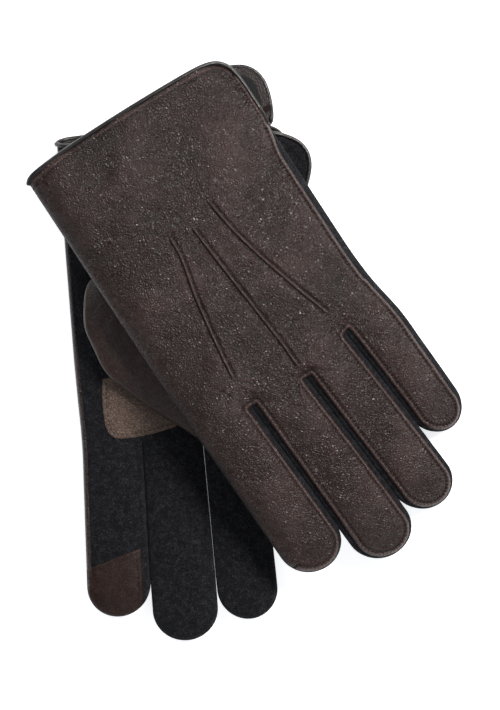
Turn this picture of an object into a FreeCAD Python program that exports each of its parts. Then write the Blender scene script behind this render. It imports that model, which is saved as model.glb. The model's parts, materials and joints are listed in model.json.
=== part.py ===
"""A pair of lined touchscreen gloves: leather backs, wool palms, lying one across the other.

The right glove lies on the ground with its palm up.  The left glove lies palm down across it.
Both gloves come from one pattern, written in a flat glove frame:
    u  across the glove, 0 at the index side of the cuff, growing towards the little finger
    v  along the glove, 0 at the cuff, growing towards the fingertips
    w  thickness, 0 at the glove's middle, growing towards the back of the hand
Every piece is a band: cross-sections with an outer and an inner line, lofted along the glove.
The part's frame has +Z up, the right glove's cuff towards +Y, and its origin at the bottom
centre of the pair's bounding box.
"""
import FreeCAD
import Part
import math
import os
from FreeCAD import Vector

# ---------------------------------------------------------------- driving dimensions, mm
HAND_HALF_THICK = 7.0        # half the thickness of the empty lined hand
LEATHER = 1.1                # leather or wool shell wall
LINING = 0.9                 # knitted lining wall
PLY_GAP = 0.1                # air between shell and lining
KNUCKLE = 146.0              # v of the finger roots, where the fingers bend
JOINT_GAP = 0.4              # gap between hand and finger pieces at the roots
HAND_POWER = 3.0             # superellipse power of the hand's cross-section
FINGER_POWER = 2.4           # superellipse power of a finger's cross-section
EDGE_WRAP = 2.5              # how far back and palm wrap past the middle on the plain edges
BACK_CUFF = -1.5             # v where the back panel ends at the cuff
PALM_CUFF = 3.0              # v where the palm panel ends at the cuff
VENT_END = 38.0              # v where the side vent closes
FACING_END = 20.0            # v where the cuff facing ends and the lining starts
VENT_TUCK = 0.9              # how far the lining is drawn in where the vent closes
BINDING = 1.6                # height of the bound cuff edge
BINDING_PROUD = 0.35         # how far the binding stands off the panel, each face
FLAT_CUT = 0.25              # skimmed off the right glove's crown so that it rests on a flat
ARC_POINTS = 13              # points along each line of a section
HAND_STATIONS = (8, 22, 34, 42, 62, 84, 105, 112, 119, 126, 133, 140)  # v of hand sections
DOME_STEPS = (1.0, 0.86, 0.72, 0.58, 0.45, 0.33, 0.22, 0.13, 0.06, 0.02)  # sections from a tip
LINING_SHORT = 3.6           # how far the finger linings stop short of the tips

# Digits: centre at the root, centre near the tip, v of that second centre, tip v,
# half-width at the root and near the tip.
FINGERS = {
    "index": dict(root=14.3, end=17.0, end_v=215.0, tip=231.0, half_root=14.3, half_end=15.0),
    "middle": dict(root=43.4, end=48.2, end_v=215.0, tip=245.0, half_root=14.2, half_end=15.2),
    "ring": dict(root=72.1, end=79.0, end_v=215.0, tip=237.0, half_root=13.9, half_end=14.2),
    "little": dict(root=100.2, end=104.2, end_v=195.0, tip=209.5, half_root=13.7, half_end=13.2),
}
FINGER_GAP = 0.3             # air on each side of a finger
FINGER_HALF_ROOT = 6.7       # half-thickness of a finger at its root
FINGER_HALF_TIP = 5.9        # half-thickness near its tip
DOME = 15.0                  # length of the rounded fingertip
SIDE_ANGLE = 17.0            # half-height of a side strip, as a section angle

# Left glove: how it lies on the right one.
YAW, ROLL, PITCH = 28.75, 5.0, 2.0           # degrees
LEFT_CORNER_U, LEFT_CORNER_V = -13.05, 19.6  # its index cuff corner, in the right glove's u and v
LEFT_LIFT = 39.6                             # height of its middle surface at that corner
# How far each fingertip droops below the hand's plane.
DROOP = {
    "left": {"index": 8.0, "middle": 16.5, "ring": 15.5, "little": 14.0},
    "right": {"index": 0.0, "middle": 0.0, "ring": 0.0, "little": 0.0},
}
ARCH = {"left": 3.0, "right": 0.0}           # how far the hand's edges sag below its centre line
ARCH_CENTRE, ARCH_SPAN = 42.0, 62.0
LEAN = {"left": 0.0, "right": -5.0}          # sideways lean of the fingers at v = 215
THUMB_HALF_THICK = 4.2
THUMB_PLY = 0.8              # thumb leather wall
THUMB_LINING = 0.6
# Thumb: the point its centre line passes, its direction in degrees from u towards v, and how
# far along it starts and has the hole that joins it to the hand.
THUMB = {
    "left": dict(at=(33.0, 100.0), angle=69.5, start=-30.0, hole=-6.0),
    "right": dict(at=(41.0, 115.7), angle=39.6, start=-54.0, hole=-18.0),
}
THUMB_TIP = 44.0             # from that point to the thumb's tip
THUMB_HOLE = (15.0, 9.0)     # half-lengths of the thumb hole, along and across the thumb


# ---------------------------------------------------------------- small helpers
def lerp(a, b, t):
    return a + (b - a) * t


def superellipse(half_u, half_w, power, degrees):
    """Point of a superellipse at an angle: 0 is +u, 90 is +w."""
    c = math.cos(math.radians(degrees))
    s = math.sin(math.radians(degrees))
    return (half_u * math.copysign(abs(c) ** (2.0 / power), c),
            half_w * math.copysign(abs(s) ** (2.0 / power), s))


def at(u, v, w):
    """Glove coordinates to the glove's own XYZ."""
    return Vector(u, -v, w)


def section_wire(outer, inner):
    """Closed wire: a curve through outer, a step in, a curve back through inner, a step out."""
    def curve(points):
        spline = Part.BSplineCurve()
        count = len(points)
        spline.interpolate(Points=points, Parameters=[i / (count - 1.0) for i in range(count)])
        return spline.toShape()
    back = list(reversed(inner))
    edges = [curve(outer),
             Part.makeLine(outer[-1], back[0]),
             curve(back),
             Part.makeLine(back[-1], outer[0])]
    return Part.Wire(edges)


def band(sections):
    """Solid through sections, each an (outer points, inner points) pair."""
    solid = Part.makeLoft([section_wire(o, i) for o, i in sections], True, True)
    if solid.Volume < 0:
        solid.reverse()
    if not solid.isValid() or solid.Volume <= 0:
        raise RuntimeError("band failed: valid %s volume %.2f" % (solid.isValid(), solid.Volume))
    return solid


def angles(first, last):
    return [lerp(first, last, i / (ARC_POINTS - 1.0)) for i in range(ARC_POINTS)]


# ---------------------------------------------------------------- the glove's surfaces
def hand_edges(v):
    """u of the index edge and of the little-finger edge of the hand."""
    spread = max(0.0, (v - 105.0) / (KNUCKLE - 105.0))
    return -1.2 + 0.7 * spread, 110.0 + 4.0 * spread ** 2


def arch(side, u):
    """Drop of the hand's middle surface away from its centre line."""
    return -ARCH[side] * ((u - ARCH_CENTRE) / ARCH_SPAN) ** 2


class Tube:
    """A closed cross-section along the glove: the hand or one finger."""

    def __init__(self, side, finger=None):
        self.side = side
        self.finger = finger
        self.power = FINGER_POWER if finger else HAND_POWER

    def shape(self, v):
        """Centre u, centre w, half-width and half-thickness at v."""
        if self.finger is None:
            low, high = hand_edges(v)
            return (low + high) / 2.0, 0.0, (high - low) / 2.0, HAND_HALF_THICK
        f = FINGERS[self.finger]
        t = (v - KNUCKLE) / (f["end_v"] - KNUCKLE)
        centre = lerp(f["root"], f["end"], t) + LEAN[self.side] * (v - KNUCKLE) / 69.0
        half = lerp(f["half_root"], f["half_end"], min(1.0, t)) - FINGER_GAP
        along = (v - KNUCKLE) / (f["tip"] - KNUCKLE)
        thick = lerp(FINGER_HALF_ROOT, FINGER_HALF_TIP, min(1.0, max(0.0, along)))
        droop = DROOP[self.side][self.finger] * max(0.0, along) ** 1.5
        if self.side == "right":
            droop = -(HAND_HALF_THICK - FLAT_CUT - thick)
        return centre, -droop, half, thick

    def dome(self, v, inset):
        """Scale of the section near the fingertip, 1 away from it."""
        if self.finger is None:
            return 1.0
        start = FINGERS[self.finger]["tip"] - DOME
        if v <= start:
            return 1.0
        x = (v - start) / (DOME - inset)
        return math.sqrt(max(0.0, 1.0 - x * x))

    def point(self, v, degrees, inset):
        centre, lift, half, thick = self.shape(v)
        scale = max(self.dome(v, inset), 0.02)
        du, dw = superellipse(max(half - inset, 0.1) * scale,
                              max(thick - inset, 0.1) * scale, self.power, degrees)
        u = centre + du
        return at(u, v, lift + dw + arch(self.side, u))

    def section(self, v, span, outside, inside):
        first, last = span
        return ([self.point(v, a, outside) for a in angles(first, last)],
                [self.point(v, a, inside) for a in angles(first, last)])

    def stations(self, start, end):
        """v of the sections between two ends, closer together on a fingertip's dome."""
        if self.finger is None:
            inner = [v for v in HAND_STATIONS if start + 3 < v < end - 3]
            return [start] + inner + [end]
        tip = FINGERS[self.finger]["tip"]
        dome = [tip - DOME * k for k in DOME_STEPS]
        straight = [lerp(start, dome[0], t) for t in (0.0, 0.2, 0.4, 0.6, 0.8)]
        return straight + [v for v in dome if v < end]

    def wall(self, span, start, end, outside, inside):
        return band([self.section(v, span, outside, inside) for v in self.stations(start, end)])


def wrap_angle(power, half_thick, height):
    """Section angle at which the surface is this high above the middle."""
    return math.degrees(math.asin((height / half_thick) ** (power / 2.0)))


# ---------------------------------------------------------------- hand pieces
def vented(side, back):
    """The back or palm panel of the hand, open along the vent at the little-finger edge."""
    tube = Tube(side)
    wrap = wrap_angle(HAND_POWER, HAND_HALF_THICK, EDGE_WRAP)
    open_angle = 24.0
    cuff = BACK_CUFF if back else PALM_CUFF
    sections = []
    for v in tube.stations(cuff, KNUCKLE - JOINT_GAP / 2.0):
        on_vent = v < VENT_END
        if back:
            span = (open_angle if on_vent else wrap, 180.0 + wrap)
        else:
            span = (180.0 + wrap, 360.0 - open_angle if on_vent else 360.0 + wrap)
        sections.append(tube.section(v, span, 0.0, LEATHER))
    return band(sections)


def lining_wall(tube, span, end):
    """Half of the hand's lining, drawn in a little where the vent closes."""
    sections = []
    for v in tube.stations(FACING_END, end):
        inset = LEATHER + PLY_GAP + (VENT_TUCK if abs(v - VENT_END) < 5.0 else 0.0)
        sections.append(tube.section(v, span, inset, inset + LINING))
    return band(sections)


def surface_w(side, u, v, back, inset=0.0):
    """w of the hand's outer surface at (u, v)."""
    centre, lift, half, thick = Tube(side).shape(v)
    x = min(0.999, abs(u - centre) / (half - inset))
    w = (thick - inset) * (1.0 - x ** HAND_POWER) ** (1.0 / HAND_POWER)
    return lift + (w if back else -w) + arch(side, u)


def hand_patch(side, outline, back, low, high):
    """A thin sheet that follows the hand's surface: outline gives (v, u from, u to)."""
    sign = 1.0 if back else -1.0
    sections = []
    for v, first, last in outline:
        us = [lerp(first, last, i / (ARC_POINTS - 1.0)) for i in range(ARC_POINTS)]
        sections.append(([at(u, v, surface_w(side, u, v, back) + sign * high) for u in us],
                         [at(u, v, surface_w(side, u, v, back) + sign * low) for u in us]))
    return band(sections)


POINT_LINES = [  # the three raised tucks on the back: start (u, v) and end (u, v)
    ((40.2, 57.0), (28.4, 132.0)),
    ((51.8, 59.0), (57.4, 144.0)),
    ((64.6, 53.0), (84.0, 131.0)),
]


def back_points(side):
    solids = []
    for (u0, v0), (u1, v1) in POINT_LINES:
        outline = []
        for k in range(8):
            t = k / 7.0
            u = lerp(u0, u1, t)
            outline.append((lerp(v0, v1, t), u - 0.6, u + 0.6))
        solids.append(hand_patch(side, outline, True, 0.15, 0.8))
    return Part.makeCompound(solids)


def cuff_ring(side, back, start, end, outside, inside, inner_open=24.0):
    tube = Tube(side)
    wrap = wrap_angle(HAND_POWER, HAND_HALF_THICK, EDGE_WRAP)
    span = (inner_open, 180.0 + wrap) if back else (180.0 + wrap, 360.0 - inner_open)
    steps = [lerp(start, end, k / 3.0) for k in range(4)]
    return band([tube.section(v, span, outside, inside) for v in steps])


def vent_flap(side):
    """The palm panel's flared corner beside the vent, with a rounded outline."""
    outline = [(6.5, 109.0), (8.0, 112.5), (11.0, 116.0), (15.0, 118.6), (20.0, 119.6),
               (26.0, 118.4), (32.0, 116.0), (37.0, 112.6), (39.5, 109.0)]
    sections = []
    for v, edge in outline:
        us = [lerp(106.0, edge, i / 4.0) for i in range(5)]
        lift = [arch(side, u) - 3.7 + 0.10 * (u - 106.0) for u in us]
        sections.append(([at(u, v, w + 0.6) for u, w in zip(us, lift)],
                         [at(u, v, w - 0.6) for u, w in zip(us, lift)]))
    return band(sections)


def vent_facing(side):
    """Leather lining of that corner, on the side that shows through the open vent."""
    outline = [(8.5, 110.5), (11.0, 114.2), (15.0, 116.9), (20.0, 118.2),
               (26.0, 117.0), (32.0, 114.4), (36.0, 111.5)]
    sections = []
    for v, edge in outline:
        us = [lerp(108.6, edge, i / 4.0) for i in range(5)]
        lift = [arch(side, u) - 3.7 + 0.10 * (u - 106.0) for u in us]
        sections.append(([at(u, v, w + 1.15) for u, w in zip(us, lift)],
                         [at(u, v, w + 0.65) for u, w in zip(us, lift)]))
    return band(sections)


# ---------------------------------------------------------------- thumb
class Thumb:
    """The thumb, lying flat on the palm: stations are (distance along, centre shift, half-width)."""

    PROFILE = [(-54.0, -17.0, 10.0), (-50.0, -15.0, 12.0), (-45.0, -12.0, 14.5),
               (-35.0, -7.0, 15.3), (-22.0, -1.5, 17.4), (-14.0, -1.0, 16.9), (0.0, 0.0, 16.5),
               (15.0, 0.0, 15.8), (44.0, 0.0, 15.0)]

    def __init__(self, side):
        self.side = side
        spot = THUMB[side]
        self.origin = spot["at"]
        a = math.radians(spot["angle"])
        self.along = (math.cos(a), math.sin(a))
        self.across = (-math.sin(a), math.cos(a))
        self.start = spot["start"]

    def plan(self, s, q):
        return (self.origin[0] + self.along[0] * s + self.across[0] * q,
                self.origin[1] + self.along[1] * s + self.across[1] * q)

    def width(self, s):
        rows = self.PROFILE
        if s <= rows[0][0]:
            return rows[0][1], rows[0][2]
        for (s0, c0, h0), (s1, c1, h1) in zip(rows, rows[1:]):
            if s <= s1:
                t = (s - s0) / (s1 - s0)
                return lerp(c0, c1, t), lerp(h0, h1, t)
        return rows[-1][1], rows[-1][2]

    def scale(self, s, inset):
        """Rounding at the base and at the tip."""
        base_len, tip_len = 13.0 - inset, 15.0 - inset
        from_base = s - (self.start + inset)
        from_tip = (THUMB_TIP - inset) - s
        k = 1.0
        if from_base < base_len:
            k = math.sqrt(max(0.0, 1.0 - ((base_len - from_base) / base_len) ** 2))
        if from_tip < tip_len:
            k = min(k, math.sqrt(max(0.0, 1.0 - ((tip_len - from_tip) / tip_len) ** 2)))
        return max(k, 0.02)

    def level(self):
        return -(HAND_HALF_THICK + 0.25 + THUMB_HALF_THICK)

    def point(self, s, degrees, inset):
        centre, half = self.width(s)
        k = self.scale(s, inset)
        dq, dw = superellipse((half - inset) * k, (THUMB_HALF_THICK - inset) * k,
                              FINGER_POWER, degrees)
        u, v = self.plan(s, centre + dq)
        return at(u, v, self.level() + dw + arch(self.side, u))

    def stations(self):
        first = [self.start + 13.0 * k for k in reversed(DOME_STEPS)]
        last = [THUMB_TIP - 15.0 * k for k in DOME_STEPS]
        middle = [lerp(first[-1], last[0], t) for t in (0.12, 0.27, 0.42, 0.6, 0.8)]
        return first + middle + last

    def wall(self, span, outside, inside):
        return band([([self.point(s, a, outside) for a in angles(*span)],
                      [self.point(s, a, inside) for a in angles(*span)])
                     for s in self.stations()])

    def hole(self):
        """Prism of the opening that joins the thumb to the hand."""
        u, v = self.plan(THUMB[self.side]["hole"], 0.0)
        ellipse = Part.Ellipse(Vector(0, 0, 0), THUMB_HOLE[0], THUMB_HOLE[1]).toShape()
        face = Part.Face(Part.Wire([ellipse]))
        prism = face.extrude(Vector(0, 0, 20.0))
        prism.rotate(Vector(0, 0, 0), Vector(0, 0, 1), -THUMB[self.side]["angle"])
        prism.translate(at(u, v, self.level() - THUMB_HALF_THICK + 1.6))
        return prism


def cut(shape, tool):
    """Shape less tool, which must leave closed solids."""
    result = shape.cut(tool)
    if not result.isValid() or not result.Solids:
        raise RuntimeError("cut failed")
    return result


# ---------------------------------------------------------------- one glove
def build_glove(side):
    """Every piece of one glove in its own frame, as {node: shape}."""
    out = {}
    hand = Tube(side)
    wrap = wrap_angle(HAND_POWER, HAND_HALF_THICK, EDGE_WRAP)
    thumb = Thumb(side)
    hole = thumb.hole()
    hand_end = KNUCKLE - JOINT_GAP / 2.0
    finger_start = KNUCKLE + JOINT_GAP / 2.0
    lining_in = LEATHER + PLY_GAP   # the lining's distance in from the outer surface

    out["back_panel"] = vented(side, True)
    out["palm_panel"] = cut(vented(side, False).fuse(vent_flap(side)), hole)
    if side == "left":
        out["back_points"] = back_points(side)
    out["vent_facing"] = vent_facing(side)
    out["cuff_binding_back"] = cuff_ring(side, True, BACK_CUFF - BINDING, BACK_CUFF - 0.02,
                                         -BINDING_PROUD, LEATHER + BINDING_PROUD)
    out["cuff_binding_palm"] = cuff_ring(side, False, PALM_CUFF - BINDING, PALM_CUFF - 0.02,
                                         -BINDING_PROUD, LEATHER + BINDING_PROUD)
    facing = [cuff_ring(side, back_side, cuff + 0.5, FACING_END - 0.3, lining_in,
                        lining_in + LINING, 30.0)
              for back_side, cuff in ((True, BACK_CUFF), (False, PALM_CUFF))]
    out["cuff_facing"] = Part.makeCompound(facing)
    lining = [lining_wall(hand, span, hand_end)
              for span in ((30.0, 180.0 + wrap), (180.0 + wrap, 330.0))]
    out["hand_lining"] = cut(Part.makeCompound(lining), hole)
    out["palm_patch"] = palm_patch(side)
    out["thumb_outer"] = thumb.wall((180.0, 360.0), 0.0, THUMB_PLY)
    out["thumb_inner"] = cut(thumb.wall((0.0, 180.0), 0.0, THUMB_PLY), hole)
    lining = [thumb.wall((180.0, 360.0), THUMB_PLY + 0.05, THUMB_PLY + 0.05 + THUMB_LINING),
              cut(thumb.wall((0.0, 180.0), THUMB_PLY + 0.05, THUMB_PLY + 0.05 + THUMB_LINING),
                  hole)]
    out["thumb_lining"] = Part.makeCompound(lining)

    for name in FINGERS:
        tube = Tube(side, name)
        tip = FINGERS[name]["tip"]
        right_side, left_side = SIDE_ANGLE, 180.0 - SIDE_ANGLE
        back_to = 180.0 + SIDE_ANGLE if name == "index" else left_side
        palm_to = 360.0 + SIDE_ANGLE if name == "little" else 360.0 - SIDE_ANGLE
        out[name + "_back"] = tube.wall((right_side, back_to), finger_start, tip, 0.0, LEATHER)
        out[name + "_palm"] = tube.wall((180.0 + SIDE_ANGLE, palm_to), finger_start, tip,
                                        0.0, LEATHER)
        sides = []
        if name != "index":
            sides.append(tube.wall((left_side, 180.0 + SIDE_ANGLE), finger_start, tip,
                                   0.0, LEATHER))
        if name != "little":
            sides.append(tube.wall((-SIDE_ANGLE, SIDE_ANGLE), finger_start, tip, 0.0, LEATHER))
        out[name + "_fourchettes"] = Part.makeCompound(sides)
        halves = [tube.wall(span, finger_start, tip - LINING_SHORT, lining_in,
                            lining_in + LINING)
                  for span in ((0.0, 180.0), (180.0, 360.0))]
        out[name + "_lining"] = Part.makeCompound(halves)
    out["touch_tip"] = touch_tip(side)
    return out


def palm_patch(side):
    """Reinforcement sewn to the palm below the thumb."""
    outline = [(116.0, 12.5, 28.0), (122.0, 11.8, 36.0), (130.0, 11.6, 44.0),
               (137.0, 12.0, 49.0), (141.0, 13.2, 49.5), (143.6, 16.0, 40.0)]
    return hand_patch(side, outline, False, 0.04, 0.24)


def touch_tip(side):
    """Conductive leather cap on the palm face of the index fingertip."""
    tube = Tube(side, "index")
    tip = FINGERS["index"]["tip"]
    stations = [tip - DOME * k for k in (2.1, 1.7, 1.3) + DOME_STEPS[:-2]]
    return band([tube.section(v, (216.0, 324.0), -0.6, -0.05) for v in stations])


# ---------------------------------------------------------------- placing the pair
def right_placement(shape):
    """Palm up: mirroring the pattern makes it a right glove, resting on a flat of its back."""
    resting = HAND_HALF_THICK - FLAT_CUT
    if shape.BoundBox.ZMax > resting:
        shape = cut(shape, Part.makeBox(400, 400, 10, Vector(-100, -300, resting)))
    flipped = shape.mirror(Vector(0, 0, 0), Vector(0, 0, 1))
    flipped.translate(Vector(0, 0, resting))
    return flipped


def left_placement(shape):
    """Palm down, tilted by roll and pitch, then turned by yaw and set across the right glove."""
    placed = shape.copy()
    placed.rotate(Vector(0, 0, 0), Vector(0, 1, 0), ROLL)
    placed.rotate(Vector(0, 0, 0), Vector(1, 0, 0), PITCH)
    placed.rotate(Vector(0, 0, 0), Vector(0, 0, 1), YAW)
    placed.translate(Vector(LEFT_CORNER_U, -LEFT_CORNER_V, LEFT_LIFT))
    return placed


def bounds(shapes):
    """Bounding box of the shapes' surfaces, not of their control points."""
    box = FreeCAD.BoundBox()
    for shape in shapes:
        for point in shape.tessellate(0.1)[0]:
            box.add(point)
    return box


def build_pair():
    """All pieces in the part's frame, and the shift that put its origin at the bottom centre."""
    pair = {}
    for side, place in (("right", right_placement), ("left", left_placement)):
        for node, shape in build_glove(side).items():
            pair[side + "_" + node] = place(shape)
    box = bounds(pair.values())
    shift = Vector(-box.Center.x, -box.Center.y, -box.ZMin)
    for shape in pair.values():
        shape.translate(shift)
    return pair, shift


def main():
    os.makedirs("parts", exist_ok=True)
    for old in os.listdir("parts"):
        if old.endswith(".step"):
            os.remove(os.path.join("parts", old))
    pair, shift = build_pair()
    for node, shape in pair.items():
        shape.exportStep("parts/%s.step" % node)
    print("nodes %d, shift %.4f %.4f %.4f" % (len(pair), shift.x, shift.y, shift.z))


main()
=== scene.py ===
"""Looks of a pair of lined touchscreen gloves: leather backs, wool palms, bound cuffs.

Both gloves come from one flat pattern in millimetres: u runs across the glove from the index
side, v along it from the cuff to the fingertips, and w through it towards the back of the hand.
Each panel is an outline in (u, v), filled with triangles, raised to the glove's rounded surface,
given its seams, tucks, creases and turned edges, and cut apart at the knuckles into one piece for
the hand and one for each finger.
"""
import json
import math

import bpy
import numpy as np
from mathutils import Matrix, Vector, geometry, kdtree


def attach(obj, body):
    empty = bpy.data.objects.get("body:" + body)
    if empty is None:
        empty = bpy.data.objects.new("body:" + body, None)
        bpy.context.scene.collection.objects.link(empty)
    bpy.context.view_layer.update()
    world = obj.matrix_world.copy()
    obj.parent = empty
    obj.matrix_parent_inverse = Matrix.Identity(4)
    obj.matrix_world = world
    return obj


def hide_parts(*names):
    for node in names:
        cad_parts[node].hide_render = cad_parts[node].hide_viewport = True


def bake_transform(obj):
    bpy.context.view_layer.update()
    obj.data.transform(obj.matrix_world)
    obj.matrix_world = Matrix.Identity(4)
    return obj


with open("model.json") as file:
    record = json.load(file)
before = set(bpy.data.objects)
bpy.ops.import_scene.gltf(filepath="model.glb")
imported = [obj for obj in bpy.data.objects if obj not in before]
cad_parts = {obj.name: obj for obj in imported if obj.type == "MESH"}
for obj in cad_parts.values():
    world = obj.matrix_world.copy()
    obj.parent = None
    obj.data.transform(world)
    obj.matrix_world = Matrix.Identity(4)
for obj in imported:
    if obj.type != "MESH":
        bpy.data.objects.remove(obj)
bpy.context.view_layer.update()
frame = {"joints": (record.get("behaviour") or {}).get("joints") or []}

# ---- the pattern, mm
FINGERS = {
    "index": dict(root=14.3, end=17.0, end_v=215.0, tip=231.0, half_root=14.55, half_end=15.35),
    "middle": dict(root=43.4, end=48.2, end_v=215.0, tip=245.0, half_root=14.5, half_end=15.8),
    "ring": dict(root=72.1, end=78.7, end_v=215.0, tip=237.0, half_root=14.15, half_end=14.65),
    "little": dict(root=100.2, end=104.45, end_v=195.0, tip=209.5, half_root=13.85, half_end=13.2),
}
ORDER = list(FINGERS)
SLITS = (146.5, 149.5, 142.0)    # v where the gaps between neighbouring fingers end
KNUCKLE = 146.0                  # v of the finger hinges
BEND_START = {"index": 147.0, "middle": 150.0, "ring": 150.0, "little": 143.0}
DOME = 15.0                      # length of a rounded fingertip
GAP = 0.05                       # half of the least air between two fingers
INDEX_EDGE, VENT_EDGE = -1.2, 110.0   # u of the hand's two edges
FLARE_START = 105.0              # v from which the hand widens towards the fingers
HAND_THICK = 7.0                 # half-thickness of the hand
FINGER_THICK = (6.7, 5.9)        # half-thickness of a finger at its root and tip
REST_CUT = 6.75                  # the right glove is pressed flat this far from its middle
ROUND_HAND, ROUND_FINGER = 24.0, 14.0   # width of the rounded border of hand and fingers
ROUND_POWER = 2.15               # 2 would make that border an ellipse
SIDE_WALL = 0.3                  # upright share of a finger's side
VENT_END = 38.0                  # v where the side vent closes
VENT_LIP = 3.3                   # how open the vent's two edges stand, as border width
# the palm's flared corner beside the vent
FLAP = ((110.6, 38.6), (112.8, 37.0), (116.0, 32.0), (118.4, 26.0), (119.6, 20.0),
        (118.8, 14.5), (116.0, 10.2), (112.0, 7.4), (106.5, 5.2), (99.0, 4.0))
FLAP_FACING, CUFF_FACING = 3.6, 15.0   # width of the leather inside the flap and the cuff
LINING_SINK, THUMB_LINING_SINK = 1.9, 0.9   # how far the linings lie under the outer surface
LEAN = {"left": 0.0, "right": -5.0}   # what a finger shifts in u, LEAN_LENGTH from its knuckle
LEAN_LENGTH = 69.0
ARCH = {"left": 3.0, "right": 0.0}    # how far the glove curves down at ARCH_SPAN from its crown
ARCH_CENTRE, ARCH_SPAN = 42.0, 62.0
# how far the left glove's fingertips hang below its hand
DROOP = {"index": 8.0, "middle": 16.5, "ring": 15.5, "little": 14.0}
BINDING_WIDE, BINDING_HIGH = 1.15, 1.35  # half-width and half-height of the rolled cuff edge
FOURCHETTE = 2.5                 # how far the leather back stops short of a finger's side
SIDE_STRIP = 3.6                 # width of the wool that shows along the little-finger side
STRIP_REACH = 4.8                # how far the wool runs in under the leather back
LEATHER_RISE = 0.55              # the leather back stands this far off the wool
RIM_PITCH, RIM_INSET = 2.05, 1.95     # pitch of the finger seams' stitches, and how far in they are
HEM_PITCH, HEM_INSET = 3.0, 3.3  # the same along the cuff's hem
# the three raised tucks on the back
TUCKS = (((40.2, 57.0), (39.2, 70.0), (34.6, 90.0), (30.4, 116.0), (28.4, 132.0)),
         ((51.6, 59.0), (52.6, 75.0), (54.6, 100.0), (56.8, 125.0), (57.6, 144.0)),
         ((64.6, 53.0), (67.2, 72.0), (71.4, 90.0), (78.0, 113.0), (84.0, 131.0)))
THUMB_PROFILE = ((-54, -17.0, 10.0), (-50, -15.0, 12.0), (-45, -12.0, 14.5), (-35, -7.0, 15.3),
                 (-22, -1.5, 17.4), (-14, -1.0, 16.9), (0, 0.0, 16.5), (15, 0.0, 15.8),
                 (44, 0.0, 15.0))       # distance along, centre shift, half-width
THUMB = {"left": dict(at=(33.0, 100.0), angle=69.5, start=-30.0),
         "right": dict(at=(41.0, 115.7), angle=39.6, start=-54.0)}
THUMB_TIP = 44.0
THUMB_THICK = 4.2                # half-thickness of the pressed thumb
THUMB_POWER = 2.4                # 2 would make its section an ellipse
THUMB_LEVEL = -(HAND_THICK + 0.25 + THUMB_THICK)

# ---- where the gloves lie
YAW, ROLL, PITCH = 28.75, 5.0, 2.0
LEFT_CORNER = np.array([-13.05, -19.6, 39.6])
TURN = (Matrix.Rotation(math.radians(YAW), 3, "Z")
        @ Matrix.Rotation(math.radians(PITCH), 3, "X")
        @ Matrix.Rotation(math.radians(ROLL), 3, "Y"))
JOINTS = {j["name"]: j for j in frame["joints"]}
INDEX_HINGE = np.array(JOINTS["right_index_bend"]["pos_m"]) * 1000.0
SHIFT = INDEX_HINGE - np.array([FINGERS["index"]["root"], -KNUCKLE, REST_CUT + HAND_THICK])


def to_row(side, uvw):
    """Pattern millimetres to metres in the part's frame."""
    uvw = np.atleast_2d(np.asarray(uvw, float))
    u, v, w = uvw[:, 0], uvw[:, 1], uvw[:, 2]
    if side == "right":
        xyz = np.stack([u, -v, REST_CUT - w], 1)
    else:
        xyz = np.stack([u, -v, w], 1) @ np.array(TURN).T + LEFT_CORNER
    return (xyz + SHIFT) / 1000.0


# ---- numeric helpers
def ease(a, b, x):
    """0 up to a, 1 from b on, smooth between."""
    t = np.clip((np.asarray(x, float) - a) / (b - a), 0.0, 1.0)
    return t * t * (3.0 - 2.0 * t)


def bump(x, width):
    return np.exp(-(np.asarray(x, float) / width) ** 2)


def waves(p, size, count, seed):
    """A smooth random field, about -1 to 1, whose lumps are roughly size across."""
    rng = np.random.default_rng(seed)
    total = np.zeros(len(p))
    for _ in range(count):
        angle = rng.uniform(0, 2 * math.pi)
        k = 2 * math.pi / (size * rng.uniform(0.7, 1.6))
        total += np.sin(k * (p[:, 0] * math.cos(angle) + p[:, 1] * math.sin(angle))
                        + rng.uniform(0, 2 * math.pi))
    return total / math.sqrt(count)


def nearest(points, line):
    """Distance from each point to a polyline, how far along it that is, and on which side."""
    tree = kdtree.KDTree(len(line))
    for k, (u, v) in enumerate(line[:, :2].tolist()):
        tree.insert((u, v, 0.0), k)
    tree.balance()
    corner = np.array([tree.find((u, v, 0.0))[1] for u, v in points[:, :2].tolist()])
    run = line[1:, :2] - line[:-1, :2]
    length = np.maximum(np.linalg.norm(run, axis=1), 1e-6)
    start = np.concatenate([[0.0], np.cumsum(length)[:-1]])
    last = len(run) - 1
    looped = np.allclose(line[0, :2], line[-1, :2])
    best = None
    for step in (-1, 0):
        k = corner + step
        k = np.where(k < 0, last if looped else 0, np.where(k > last, 0 if looped else last, k))
        rel = points[:, :2] - line[k, :2]
        t = np.clip((rel * run[k]).sum(1) / length[k] ** 2, 0.0, 1.0)
        off = np.linalg.norm(rel - t[:, None] * run[k], axis=1)
        side = np.sign(run[k, 0] * rel[:, 1] - run[k, 1] * rel[:, 0])
        found = np.stack([off, start[k] + t * length[k], side])
        best = found if best is None else np.where(found[0] < best[0], found, best)
    return best


def inside(points, loop):
    """Whether each point is inside a closed loop."""
    a, b = loop, np.roll(loop, -1, 0)
    result = []
    for chunk in np.array_split(points, max(1, len(points) * len(a) // 4000000 + 1)):
        x, y = chunk[:, 0:1], chunk[:, 1:2]
        crosses = (a[:, 1] > y) != (b[:, 1] > y)
        rise = np.where(b[:, 1] == a[:, 1], 1e-12, b[:, 1] - a[:, 1])
        at_x = a[:, 0] + (y - a[:, 1]) / rise * (b[:, 0] - a[:, 0])
        result.append((crosses & (x < at_x)).sum(1) % 2 == 1)
    return np.concatenate(result)


def resample(line, step):
    """Points every step along a polyline, its ends kept."""
    line = np.asarray(line, float)
    length = np.concatenate([[0.0], np.cumsum(np.linalg.norm(np.diff(line, axis=0), axis=1))])
    count = max(2, int(round(length[-1] / step)) + 1)
    s = np.linspace(0.0, length[-1], count)
    return np.stack([np.interp(s, length, line[:, k]) for k in range(line.shape[1])], 1)


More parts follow.
